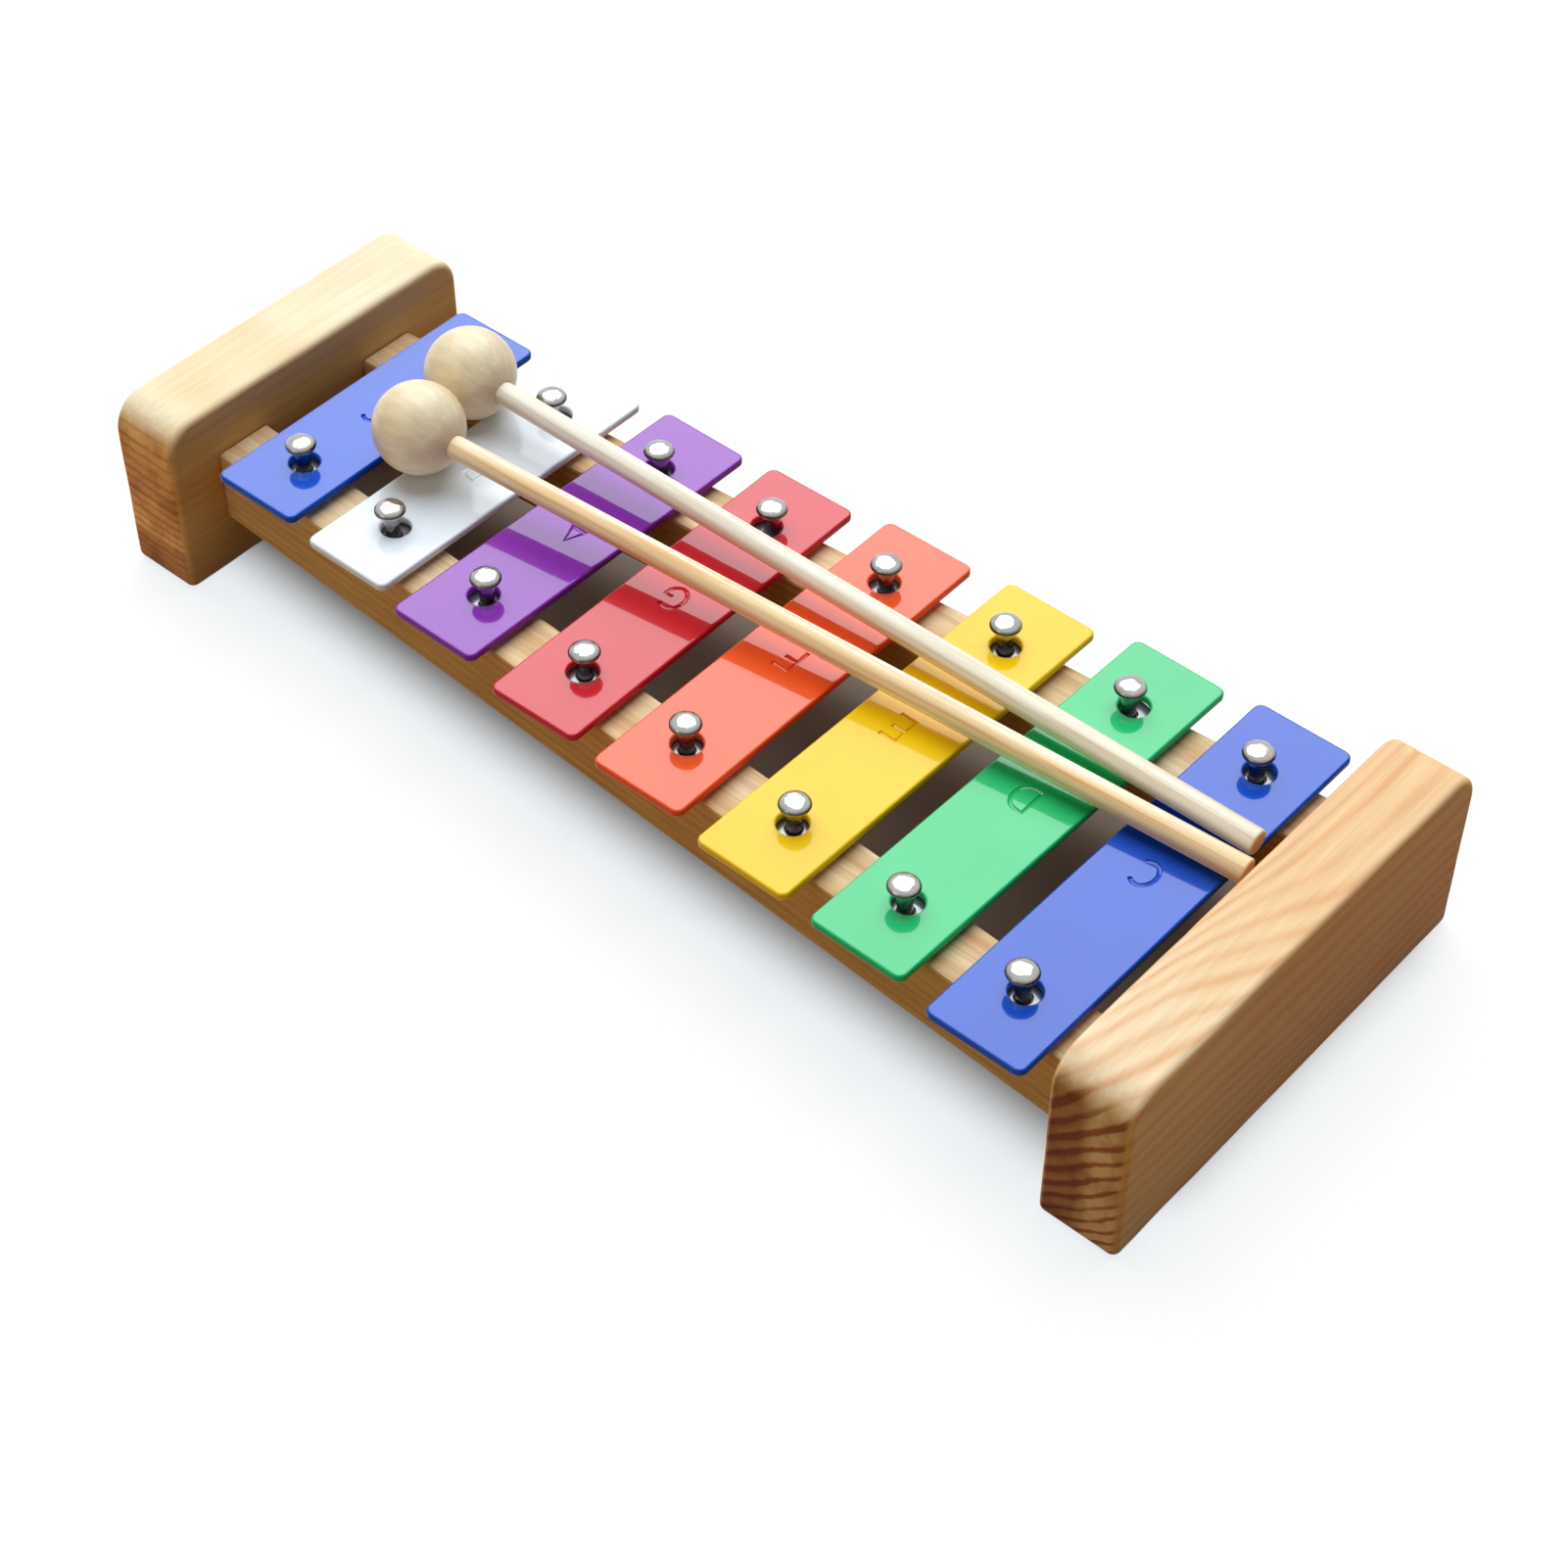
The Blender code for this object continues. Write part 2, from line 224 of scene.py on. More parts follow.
def yearCount(nodes, links, wood, place, axes, along, upper, sawnEnd):
    # years counted outward from the pith line
    flat = nodes.new("ShaderNodeVectorMath")
    flat.operation = "MULTIPLY"
    flat.inputs[1].default_value = wood["across"]
    links.new(place, flat.inputs[0])
    reach = nodes.new("ShaderNodeVectorMath")
    reach.operation = "LENGTH"
    links.new(flat.outputs["Vector"], reach.inputs[0])
    # the grain runs out through the upper face and lies straight along the sides
    runOut = mathNode(nodes, links, "MULTIPLY_ADD", upper, wood["runOut"], wood["runStraight"])
    sloping = mathNode(nodes, links, "SMOOTH_MAX", along, -wood["runReach"], grain["runOutBlend"])
    depth = mathNode(nodes, links, "MULTIPLY_ADD", sloping, runOut, reach.outputs["Value"])
    # across the upper face the bands swing from lengthwise at the inner edge to nearly crosswise at the outer one,
    # a little way in from the end
    thickness = board["thickness"]
    outward = shareNode(nodes, links, axes["X"], (1 / thickness, 1.0 - wood["innerEdge"] / thickness))
    swing = mathNode(nodes, links, "POWER", outward, grain["swingPower"])
    swing = mathNode(nodes, links, "MULTIPLY_ADD", swing, -wood["bend"], grain["swingMiddle"] * wood["bend"])
    swing = mathNode(nodes, links, "MULTIPLY", swing, shareNode(nodes, links, along, grain["swingFromEnd"]))
    depth = mathNode(nodes, links, "MULTIPLY_ADD", swing, upper, depth)
    wander = noiseNode(nodes, links, scaledPlace(nodes, links, wood["wanderStretch"]), 1.0)
    depth = mathNode(nodes, links, "MULTIPLY_ADD", wander, wood["wander"], depth)
    sawing = noiseNode(nodes, links, scaledPlace(nodes, links, grain["sawingStretch"]), grain["sawingScale"])
    sawing = mathNode(nodes, links, "MULTIPLY", mathNode(nodes, links, "SUBTRACT", sawing, noiseMiddle), sawnEnd)
    depth = mathNode(nodes, links, "MULTIPLY_ADD", sawing, wood["sawing"], depth)
    # far enough from the pith the years crowd together
    years = mathNode(nodes, links, "DIVIDE", depth, wood["ringGap"])
    crowd = mathNode(nodes, links, "SUBTRACT", depth, wood["crowdFrom"])
    crowd = mathNode(nodes, links, "POWER", mathNode(nodes, links, "MAXIMUM", crowd, 0.0), 2.0)
    return mathNode(nodes, links, "MULTIPLY_ADD", crowd, wood["crowd"], years)


def lateWood(nodes, links, wood, years):
    late = rampNode(nodes, links, mathNode(nodes, links, "FRACT", years), wood["ringShape"])
    # no two years are equally dark
    yearNoise = nodes.new("ShaderNodeTexWhiteNoise")
    yearNoise.noise_dimensions = "1D"
    links.new(mathNode(nodes, links, "FLOOR", years), yearNoise.inputs["W"])
    patch = noiseNode(nodes, links, scaledPlace(nodes, links, wood["patchStretch"]), 1.0, *grain["patchNoise"])
    gain, loss = wood["patchiness"] * grain["patchGain"], wood["patchiness"] * grain["patchLoss"]
    patch = mathNode(nodes, links, "MULTIPLY_ADD", patch, gain, 1.0 - loss)
    patch = mathNode(nodes, links, "MULTIPLY_ADD", yearNoise.outputs["Value"], -wood["yearSpread"], patch)
    return mathNode(nodes, links, "MULTIPLY", late, patch, clamp=True)


def endColour(nodes, links, wood, axes, late, squareEnd, layers):
    # end grain drinks the lacquer and shows the rings much darker, and it is darkest toward its inner side
    slope = grain["innerDarkSlope"]
    innerDark = shareNode(nodes, links, axes["X"], (slope, -slope * wood["innerDarkFrom"]))
    innerDark = mathNode(nodes, links, "MULTIPLY", innerDark, squareEnd)
    dark = mathNode(nodes, links, "MULTIPLY_ADD", late, *grain["endContrast"])
    dark = mathNode(nodes, links, "MULTIPLY_ADD", squareEnd, grain["squareEndDarker"], dark)
    dark = mathNode(nodes, links, "MULTIPLY_ADD", innerDark, grain["innerDarker"], dark, clamp=True)
    colour = mixColour(nodes, links, "MIX", dark, wood["endEarly"], wood["endLate"])
    stain = noiseNode(nodes, links, scaledPlace(nodes, links, grain["stainStretch"]), 1.0, *grain["stainNoise"])
    stain = fadeNode(nodes, links, stain, grain["stainSpan"], wood["endStain"])
    colour = mixColour(nodes, links, "MULTIPLY", 1.0, colour, stain)
    colour = mixColour(nodes, links, "MULTIPLY", innerDark, colour, wood["innerDark"])
    return mixColour(nodes, links, "MULTIPLY", 1.0, colour, layers)


def pineMaterial(name, wood):
    # growth rings round a pith line, cut open by whatever face the board has
    material, nodes, links, shader = newMaterial(name)
    place = scaledPlace(nodes, links, (1, 1, 1), wood["shift"])
    splitter = nodes.new("ShaderNodeSeparateXYZ")
    links.new(place, splitter.inputs[0])
    axes = splitter.outputs
    facing = facingAxes(nodes, links)
    along = mathNode(nodes, links, "SUBTRACT", axes[wood["lengthAxis"]], wood["grainEnd"])
    alongFace = mathNode(nodes, links, "ABSOLUTE", facing[wood["lengthAxis"]])
    upper = shareNode(nodes, links, facing["Z"], grain["upperFace"])
    upright = shareNode(nodes, links, facing["Z"], grain["uprightFace"])
    sawnEnd = shareNode(nodes, links, alongFace, grain["sawnEnd"])
    squareEnd = shareNode(nodes, links, alongFace, grain["squareEnd"])
    height = board["height"]
    level = mathNode(nodes, links, "MULTIPLY_ADD", axes["Z"], 1 / height, -wood["shift"][2] / height)
    late = lateWood(nodes, links, wood, yearCount(nodes, links, wood, place, axes, along, upper, sawnEnd))
    fibre = noiseNode(nodes, links, scaledPlace(nodes, links, wood["fibreStretch"]), 1.0, *grain["fibreNoise"])

    colour = mixColour(nodes, links, "MIX", late, wood["early"], wood["late"])
    # painted shade: the upright sides are darker and warmer as if in shade, and darker again layer by layer
    colour = mixColour(nodes, links, "MULTIPLY", upright, colour, wood["paintedSideShade"])
    colour = mixColour(nodes, links, "MULTIPLY", upright, colour, rampNode(nodes, links, level, wood["sideLayers"]))
    endLayers = rampNode(nodes, links, level, wood["endLayers"])
    sawnColour = endColour(nodes, links, wood, axes, late, squareEnd, endLayers)
    colour = mixColour(nodes, links, "MIX", sawnEnd, colour, sawnColour)
    darkAt, lightAt = grain["fibreSpan"]
    fibreShade = rampNode(nodes, links, fibre, ((darkAt, wood["fibreDark"]), (lightAt, grain["fibreLight"])))
    colour = mixColour(nodes, links, "MULTIPLY", 1.0, colour, fibreShade)
    farEnd = shareNode(nodes, links, along, grain["farEnd"])
    colour = mixColour(nodes, links, "MULTIPLY", farEnd, colour, wood["farTint"])
    blush = noiseNode(nodes, links, scaledPlace(nodes, links, wood["blushStretch"]), 1.0)
    blush = fadeNode(nodes, links, blush, grain["blushSpan"], wood["blush"])
    links.new(mixColour(nodes, links, "MULTIPLY", 1.0, colour, blush), shader.inputs["Base Color"])

    spread = grain["fibreRoughness"]
    rough = mathNode(nodes, links, "MULTIPLY_ADD", fibre, spread, wood["roughness"] - spread / 2)
    links.new(rough, shader.inputs["Roughness"])
    shader.inputs["Specular IOR Level"].default_value = grain["specular"]
    shader.inputs["Coat Weight"].default_value = wood["lacquer"]
    shader.inputs["Coat Roughness"].default_value = grain["coatRoughness"]
    normal = bumpNode(nodes, links, fibre, grain["depth"], grain["fibreBump"])
    normal = bumpNode(nodes, links, late, grain["depth"], grain["ringBump"], normal)
    links.new(normal, shader.inputs["Normal"])
    return material


plain = (1.0, 1.0, 1.0)
lowBlockWood = {
    "shift": (0.048, 0.0, -0.107), "across": (1.0, 0.0, 1.0), "lengthAxis": "Y", "ringGap": 5.9 * mm,
    "grainEnd": 56.0 * mm, "runOut": 0.48, "runStraight": 0.04, "runReach": 70.0 * mm,
    "innerEdge": -75.5 * mm, "bend": 12.0 * mm, "sawing": 0.8 * mm, "crowd": 3000.0, "crowdFrom": 100.0 * mm,
    "endLayers": ((0.0, (0.92, 0.84, 0.80)), (1.0, plain)),
    "sideLayers": ((0.0, (0.88, 0.84, 0.80)), (1.0, plain)),
    "wander": 6.0 * mm, "wanderStretch": (36.0, 18.0, 36.0),
    "ringShape": ((0.0, (0.30, 0.30, 0.30)), (0.28, (0, 0, 0)), (0.76, plain), (1.0, (0.30, 0.30, 0.30))),
    "patchStretch": (60.0, 30.0, 60.0), "patchiness": 0.55, "yearSpread": 0.35,
    # the side tone is painted shade for the upright faces
    "early": (0.965, 0.750, 0.490), "late": (0.860, 0.505, 0.280), "paintedSideShade": (0.82, 0.645, 0.32),
    "endEarly": (0.800, 0.560, 0.280), "endLate": (0.400, 0.135, 0.030), "endStain": (0.70, 0.56, 0.46),
    "innerDarkFrom": -87.0 * mm, "innerDark": (0.53, 0.35, 0.22), "farTint": (0.95, 0.82, 0.70),
    "blush": (0.97, 0.88, 0.76), "blushStretch": (30.0, 18.0, 30.0),
    "fibreStretch": (900.0, 40.0, 900.0), "fibreDark": (0.93, 0.91, 0.87), "roughness": 0.50, "lacquer": 0.02,
}
noInnerDark = 1.0   # farther out than any board reaches
highBlockWood = dict(
    lowBlockWood, shift=(-0.134, 0.0, -0.160), ringGap=3.5 * mm, runOut=0.10, wander=4.0 * mm,
    bend=0.0, crowd=2400.0, crowdFrom=118.0 * mm, sawing=1.2 * mm, innerDarkFrom=noInnerDark,
    endLayers=(
        (0.0, (0.60, 0.42, 0.34)), (0.20, (0.70, 0.50, 0.38)), (0.27, (1.10, 1.06, 0.98)), (0.43, (1.12, 1.06, 0.98)),
        (0.50, (0.80, 0.64, 0.50)), (0.66, (0.84, 0.68, 0.54)), (0.78, (0.96, 0.86, 0.74)), (0.92, (1.05, 1.0, 0.98)),
    ),
    sideLayers=(
        (0.0, (0.80, 0.74, 0.68)), (0.35, (1.0, 1.0, 0.98)), (0.50, (1.0, 0.94, 0.86)), (0.60, (0.94, 0.82, 0.68)),
        (0.75, (1.0, 0.98, 0.96)), (0.90, (0.86, 0.84, 0.92)), (1.0, plain),
    ),
    early=(0.970, 0.850, 0.620), late=(0.940, 0.760, 0.510), paintedSideShade=(0.81, 0.61, 0.345),
    endEarly=(0.950, 0.600, 0.250), endLate=(0.700, 0.340, 0.110), farTint=(1.0, 0.97, 0.95),
)
railWood = dict(
    lowBlockWood, shift=(0.0, 0.020, -0.10), across=(0.0, 1.0, 1.0), lengthAxis="X", grainEnd=0.0, ringGap=2.4 * mm,
    runOut=0.02, runStraight=0.01, bend=0.0, crowd=0.0, sideLayers=((0.0, plain), (1.0, plain)), innerDarkFrom=noInnerDark,
    wander=3.0 * mm, wanderStretch=(12.0, 60.0, 60.0), patchStretch=(20.0, 60.0, 60.0), farTint=plain,
    blushStretch=(16.0, 30.0, 30.0), fibreStretch=(40.0, 900.0, 900.0), fibreDark=(0.80, 0.74, 0.66),
    early=(0.840, 0.640, 0.410), late=(0.710, 0.460, 0.240),
)
dowelWood = dict(railWood, ringGap=1.6 * mm, early=(0.72, 0.50, 0.30), late=(0.60, 0.38, 0.20))

blocks = {
    "topRadius": 7.8 * mm, "topSteps": 12, "bottomRadius": 2.3 * mm, "bottomSteps": 6, "longRun": 24, "shortRun": 8,
    "edgeRadius": 1.7 * mm, "edgeSteps": 6, "wear": 0.25 * mm, "wearScale": 90.0, "sharpAngle": 40,
}


def roundedLoop(halfLength, bottom, top, inset):
    # a board's outline seen from its end, in (along, up), with points spread along the straight runs
    topRadius, bottomRadius = blocks["topRadius"], blocks["bottomRadius"]
    topMiddle, bottomMiddle = top - topRadius, bottom + bottomRadius
    corners = (
        (1, topMiddle, topRadius, 0, blocks["topSteps"]), (-1, topMiddle, topRadius, 90, blocks["topSteps"]),
        (-1, bottomMiddle, bottomRadius, 180, blocks["bottomSteps"]),
        (1, bottomMiddle, bottomRadius, 270, blocks["bottomSteps"]),
    )
    arcs = []
    for side, middleUp, radius, start, steps in corners:
        middle = side * (halfLength - radius)
        arcs.append(arcPoints(middle, middleUp, radius - inset, radius - inset, start, start + 90, steps))
    points = []
    longRun, shortRun = blocks["longRun"], blocks["shortRun"]
    for arc, after, runs in zip(arcs, arcs[1:] + arcs[:1], (longRun, shortRun, longRun, shortRun)):
        points += arc
        (fromAlong, fromUp), (toAlong, toUp) = arc[-1], after[0]
        for k in range(1, runs):
            points.append((fromAlong + (toAlong - fromAlong) * k / runs, fromUp + (toUp - fromUp) * k / runs))
    return points


def roundedBoard(name, low, high):
    # stacked outlines from one broad face to the other, the edges rolled over and slightly hand-sanded
    edge, steps = blocks["edgeRadius"], blocks["edgeSteps"]
    halfThickness = (high.x - low.x) / 2
    halfLength = (high.y - low.y) / 2
    middle = (low + high) / 2
    layers = []
    for side in (-1, 1):
        turns = [math.pi / 2 * k / steps for k in range(steps + 1)]
        rows = [(side * (halfThickness - edge + edge * math.sin(t)), edge * (1 - math.cos(t))) for t in turns]
        layers += rows[::-1] if side < 0 else rows
    shape = bmesh.new()
    loops = []
    for across, inset in layers:
        loop = []
        for along, up in roundedLoop(halfLength, low.z, high.z, inset):
            spot = Vector((middle.x + across, middle.y + along, up))
            worn = max(noise.noise(spot * blocks["wearScale"]) * blocks["wear"], 0)
            inward = Vector((-across, 0, 0)).normalized() * inset / edge
            inward += Vector((0, -along, middle.z - up)).normalized()
            loop.append(shape.verts.new(spot + inward * worn))
        loops.append(loop)
    for before, after in zip(loops, loops[1:]):
        count = len(before)
        for k in range(count):
            shape.faces.new((before[k], before[(k + 1) % count], after[(k + 1) % count], after[k]))
    shape.faces.new(loops[0][::-1])
    shape.faces.new(loops[-1])
    bmesh.ops.recalc_face_normals(shape, faces=shape.faces)
    mesh = bpy.data.meshes.new(name)
    shape.to_mesh(mesh)
    shape.free()
    smoothMesh(mesh, blocks["sharpAngle"])
    helper = helperPiece(name + "_helper", mesh)
    weighted = helper.modifiers.new("normals", "WEIGHTED_NORMAL")
    weighted.keep_sharp = True
    return evaluatedMesh(helper, name)


def finishNode(node, material):
    # a straight piece shows as it was packed, in its own wood
    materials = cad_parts[node].data.materials
    materials.clear()
    materials.append(material)


for side, wood in (("low", lowBlockWood), ("high", highBlockWood)):
    mesh = roundedBoard(side + "Block", *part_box("end_block_" + side))
    pine = pineMaterial(side + "BlockPine", wood)
    block = addPiece(f"endBlock_{side}", mesh, pine, "frame", ("end_block_" + side,))
    block.visible_glossy = side == "low"   # the high bar's gloss stays bright right up to its block

finishNode("rail_front", pineMaterial("railPineFront", railWood))
finishNode("rail_back", pineMaterial("railPineBack", dict(railWood, shift=(0.0, -0.020, -0.10))))
dowelPine = pineMaterial("dowelBeech", dowelWood)
for node in ("dowel_low_front", "dowel_low_back", "dowel_high_front", "dowel_high_back"):
    finishNode(node, dowelPine)
print("wood finished")


# bars

bars = {
    "width": 23.0 * mm, "thickness": 2.0 * mm, "cornerRadius": 1.9 * mm, "cornerSteps": 8,
    "lip": 0.6 * mm, "lipSteps": 3, "holeRadius": 3.3 * mm, "holePoints": 48, "sharpAngle": 32, "flatWeight": 100,
    "longest": 107.0 * mm, "shortest": 75.3 * mm, "lowNailShare": 0.699, "highNailShare": 0.5975,
    "notes": ("c_low", "d", "e", "f", "g", "a", "b", "c_high"),
    "turns": (0.0, -0.6, -0.3, 0.6, 1.0, -0.3, -0.1, 0.5),   # degrees
    "colours": ("blue", "green", "yellow", "orange", "red", "purple", "white", "blue"),
}
letters = {
    "signs": ("C", "D", "E", "F", "G", "A", "B", "C"), "height": 6.8 * mm, "widthShare": 0.82,
    # off the middle of each bar, in mm
    "places": ((0.9, -0.6), (0.6, -0.3), (1.5, -0.4), (0.3, -0.9), (0.2, 0.8), (-0.9, 0.2), (0.2, 0.0), (0.2, 0.4)),
    "strokeRadius": 0.60 * mm, "strokeSteps": 2, "strokeDepth": 0.45 * mm,
}
enamels = {   # linear colour of the enamel itself
    "blue": (0.006, 0.080, 0.560), "green": (0.020, 0.560, 0.180), "yellow": (0.960, 0.600, 0.004),
    "orange": (0.930, 0.100, 0.016), "red": (0.640, 0.018, 0.030), "purple": (0.260, 0.028, 0.430),
    "white": (0.860, 0.900, 0.950),
}
glossShares = {"yellow": 0.6, "white": 0.6}   # share of the clear gloss where it isn't full
gloss = {
    "roughness": 0.25, "specular": 0.08, "coatIndex": 1.46, "coatRoughness": 0.02, "onFlats": (3.0, -2.0),
    "cloudScale": 35.0, "cloudDetail": 3.0, "cloudStops": ((0.25, (0.94, 0.94, 0.94)), (0.75, (1.03, 1.03, 1.03))),
    "rippleScale": 330.0, "rippleDetail": 1.5, "rippleDepth": 0.02 * mm, "rippleBump": 0.003,
}


def enamelMaterial(name, colour, share):
    material, nodes, links, shader = newMaterial(name)
    cloud = noiseNode(nodes, links, scaledPlace(nodes, links, (1, 1, 1)), gloss["cloudScale"], gloss["cloudDetail"])
    shade = rampNode(nodes, links, cloud, gloss["cloudStops"])
    links.new(mixColour(nodes, links, "MULTIPLY", 1.0, colour, shade), shader.inputs["Base Color"])
    shader.inputs["Roughness"].default_value = gloss["roughness"]
    shader.inputs["Specular IOR Level"].default_value = gloss["specular"]
    shader.inputs["Coat IOR"].default_value = gloss["coatIndex"]
    shader.inputs["Coat Roughness"].default_value = gloss["coatRoughness"]
    # the clear gloss lies on the flat and thins out over the rolled edge
    line = [value * share for value in gloss["onFlats"]]
    links.new(shareNode(nodes, links, facingAxes(nodes, links)["Z"], line), shader.inputs["Coat Weight"])
    place = scaledPlace(nodes, links, (1, 1, 1))
    ripple = noiseNode(nodes, links, place, gloss["rippleScale"], gloss["rippleDetail"])
    normal = bumpNode(nodes, links, ripple, gloss["rippleDepth"], gloss["rippleBump"])
    links.new(normal, shader.inputs["Normal"])
    links.new(normal, shader.inputs["Coat Normal"])
    return material


# plain strokes in a box 0..1 wide and 0..1 high, one letter for each pitch
letterStrokes = {
    "C": [arcPoints(0.50, 0.50, 0.46, 0.50, 48, 312, 14)],
    "D": [[(0.10, 0.0), (0.10, 1.0), (0.42, 1.0)] + arcPoints(0.42, 0.50, 0.48, 0.50, 80, -80, 9)
          + [(0.42, 0.0), (0.10, 0.0)]],
    "E": [[(0.85, 1.0), (0.12, 1.0), (0.12, 0.0), (0.85, 0.0)], [(0.12, 0.52), (0.72, 0.52)]],
    "F": [[(0.85, 1.0), (0.12, 1.0), (0.12, 0.0)], [(0.12, 0.52), (0.70, 0.52)]],
    "G": [arcPoints(0.50, 0.50, 0.46, 0.50, 48, 330, 14) + [(0.94, 0.46), (0.58, 0.46)]],
    "A": [[(0.04, 0.0), (0.50, 1.0), (0.96, 0.0)], [(0.20, 0.34), (0.80, 0.34)]],
    "B": [[(0.12, 0.0), (0.12, 1.0), (0.50, 1.0)] + arcPoints(0.50, 0.76, 0.34, 0.24, 80, -80, 6)
          + [(0.50, 0.52), (0.12, 0.52)],
          [(0.50, 0.52)] + arcPoints(0.50, 0.26, 0.38, 0.26, 80, -80, 6) + [(0.50, 0.0), (0.12, 0.0)]],
}


def letterCutter(name, sign, place):
    # round tubes along the strokes, sunk into the top face by the stroke depth
    height = letters["height"]
    width = height * letters["widthShare"]
    lift = bars["thickness"] / 2 + letters["strokeRadius"] - letters["strokeDepth"]
    curve = bpy.data.curves.new(name, "CURVE")
    curve.dimensions = "3D"
    curve.bevel_depth = letters["strokeRadius"]
    curve.bevel_resolution = letters["strokeSteps"]
    curve.use_fill_caps = True
    for points in letterStrokes[sign]:
        line = curve.splines.new("POLY")
        line.points.add(len(points) - 1)
        for point, (x, y) in zip(line.points, points):
            point.co = (place[0] * mm + (x - 0.5) * width, place[1] * mm + (y - 0.5) * height, lift, 1)
    return helperPiece(name, curve)


def outlineCurve(name, length, holes):
    # a bar's flat outline with its two holes, thickened and rolled at its edges by the curve's own settings
    curve = bpy.data.curves.new(name, "CURVE")
    curve.dimensions = "2D"
    curve.fill_mode = "BOTH"
    curve.extrude = bars["thickness"] / 2 - bars["lip"]
    curve.bevel_depth = bars["lip"]
    curve.bevel_resolution = bars["lipSteps"]
    curve.offset = -bars["lip"]
    radius, holeRadius, around = bars["cornerRadius"], bars["holeRadius"], bars["holePoints"]
    corners = []
    for cornerX, cornerY, start in ((1, 1, 0), (-1, 1, 90), (-1, -1, 180), (1, -1, 270)):
        middleX = cornerX * (bars["width"] / 2 - radius)
        middleY = cornerY * (length / 2 - radius)
        corners += arcPoints(middleX, middleY, radius, radius, start, start + 90, bars["cornerSteps"])
    lastTurn = -360 * (around - 1) / around
    loops = [corners] + [arcPoints(x, y, holeRadius, holeRadius, 0, lastTurn, around - 1) for x, y in holes]
    for points in loops:
        line = curve.splines.new("POLY")
        line.use_cyclic_u = True
        line.points.add(len(points) - 1)
        for point, (x, y) in zip(line.points, points):
            point.co = (x, y, 0, 1)
    return helperPiece(name, curve)


def makeBar(index):
    note = bars["notes"][index]
    low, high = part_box("bar_" + note)
    step = index / (len(bars["notes"]) - 1)
    longest, shortest = bars["longest"], bars["shortest"]
    length = longest + (shortest - longest) * step
    spread = longest * bars["lowNailShare"] * (1 - step) + shortest * bars["highNailShare"] * step
    plate = outlineCurve("plate_" + note, length, ((0, spread / 2), (0, -spread / 2)))
    blank = helperPiece("blank_" + note, evaluatedMesh(plate, "plate_" + note))
    cutter = letterCutter("letter_" + note, letters["signs"][index], letters["places"][index])
    cutter = helperPiece("cutter_" + note, evaluatedMesh(cutter, "cutter_" + note))
    cut = blank.modifiers.new("letter", "BOOLEAN")
    cut.operation = "DIFFERENCE"
    cut.solver = "EXACT"
    cut.use_self = True
    cut.object = cutter
    cutMesh = evaluatedMesh(blank, "cut_" + note)
    smoothMesh(cutMesh, bars["sharpAngle"])
    finished = helperPiece("finished_" + note, cutMesh)
    flatten = finished.modifiers.new("normals", "WEIGHTED_NORMAL")   # keeps reflections straight on the flats
    flatten.weight = bars["flatWeight"]
    flatten.keep_sharp = True
    mesh = evaluatedMesh(finished, "bar_" + note + "_enamelled")
    bpy.data.objects.remove(cutter)
    turn = Matrix.Rotation(math.radians(bars["turns"][index]), 4, "Z")
    mesh.transform(Matrix.Translation((low + high) / 2) @ turn)
    colour = bars["colours"][index]
    finish = enamelFinishes[colour]
    return addPiece("enamelledBar_" + note, mesh, finish, "loose_bar_" + note, ("bar_" + note,))


enamelFinishes = {}
for colour in enamels:
    enamelFinishes[colour] = enamelMaterial(colour + "Enamel", enamels[colour], glossShares.get(colour, 1.0))
for index in range(len(bars["notes"])):
    makeBar(index)
print("bars made")


# nails and washers

nails = {
    "headRadius": 3.4 * mm, "dome": 1.8 * mm, "domeSteps": 12, "rim": 4.6 * mm, "roll": 0.3 * mm,
    "rimTuck": (0.09 * mm, 0.2 * mm), "throatRadius": 2.05 * mm, "throat": 3.4 * mm, "throatSteps": 8,
    "neckRadius": 1.6 * mm, "neckFlare": (0.12 * mm, 1.2 * mm),
    "shankRadius": 1.2 * mm, "shankTop": 13.3 * mm, "point": 2.5 * mm, "steps": 40, "sharpAngle": 50,
    "plating": (0.50, 0.50, 0.49), "cloudy": 0.86, "cloudScale": 420.0, "cloudDetail": 3.0, "cloudSpan": (0.3, 0.7),
    "roughnessSpan": (0.06, 0.16), "dentScale": 380.0, "dentDetail": 1.5, "dentDepth": 0.4 * mm, "dentBump": 0.8,
    # the dark rim colour below is a painted dark reflection
    "paintedRimDark": (0.16, 0.14, 0.12), "under": (0.9, 0.9, 0.9),
    "underUpTo": 0.08, "darkFrom": 0.20, "darkUpTo": 0.46, "brightFrom": 0.88,
}
nailDrift = {   # how far each nail head leans off its row, (x, y) in mm, low notes first
    "front": ((0.5, 0.1), (0.4, -0.2), (0.5, -0.2), (0.4, -0.2), (-0.3, 0.2), (0.5, -0.1), (0.5, 0.0), (0.3, 0.0)),
    "back": ((0.6, 0.2), (0.6, 0.3), (-0.1, -0.2), (0.5, -0.3), (-0.5, 0.2), (0.2, -0.3), (0.4, 0.1), (0.1, 0.1)),
}
washers = {
    "radius": 4.7 * mm, "hole": 2.0 * mm, "thickness": 1.0 * mm, "round": 0.25 * mm, "tuckShare": 0.3,
    "steps": 36, "sharpAngle": 40, "seam": 0.01 * mm,
    "colour": (0.28, 0.28, 0.30), "cloudy": 0.8, "cloudScale": 500.0, "cloudDetail": 3.0, "cloudSpan": (0.3, 0.7),
    "roughness": 0.24, "metallic": 0.6, "bumpDepth": 0.08 * mm, "bump": 0.5,
}


def cloudyTint(nodes, links, cloud, colour, finish):
    # a colour that is a little darker in the noise's low places
    darker = tuple(c * finish["cloudy"] for c in colour)
    start, end = finish["cloudSpan"]
    return rampNode(nodes, links, cloud, ((start, darker), (end, colour)))


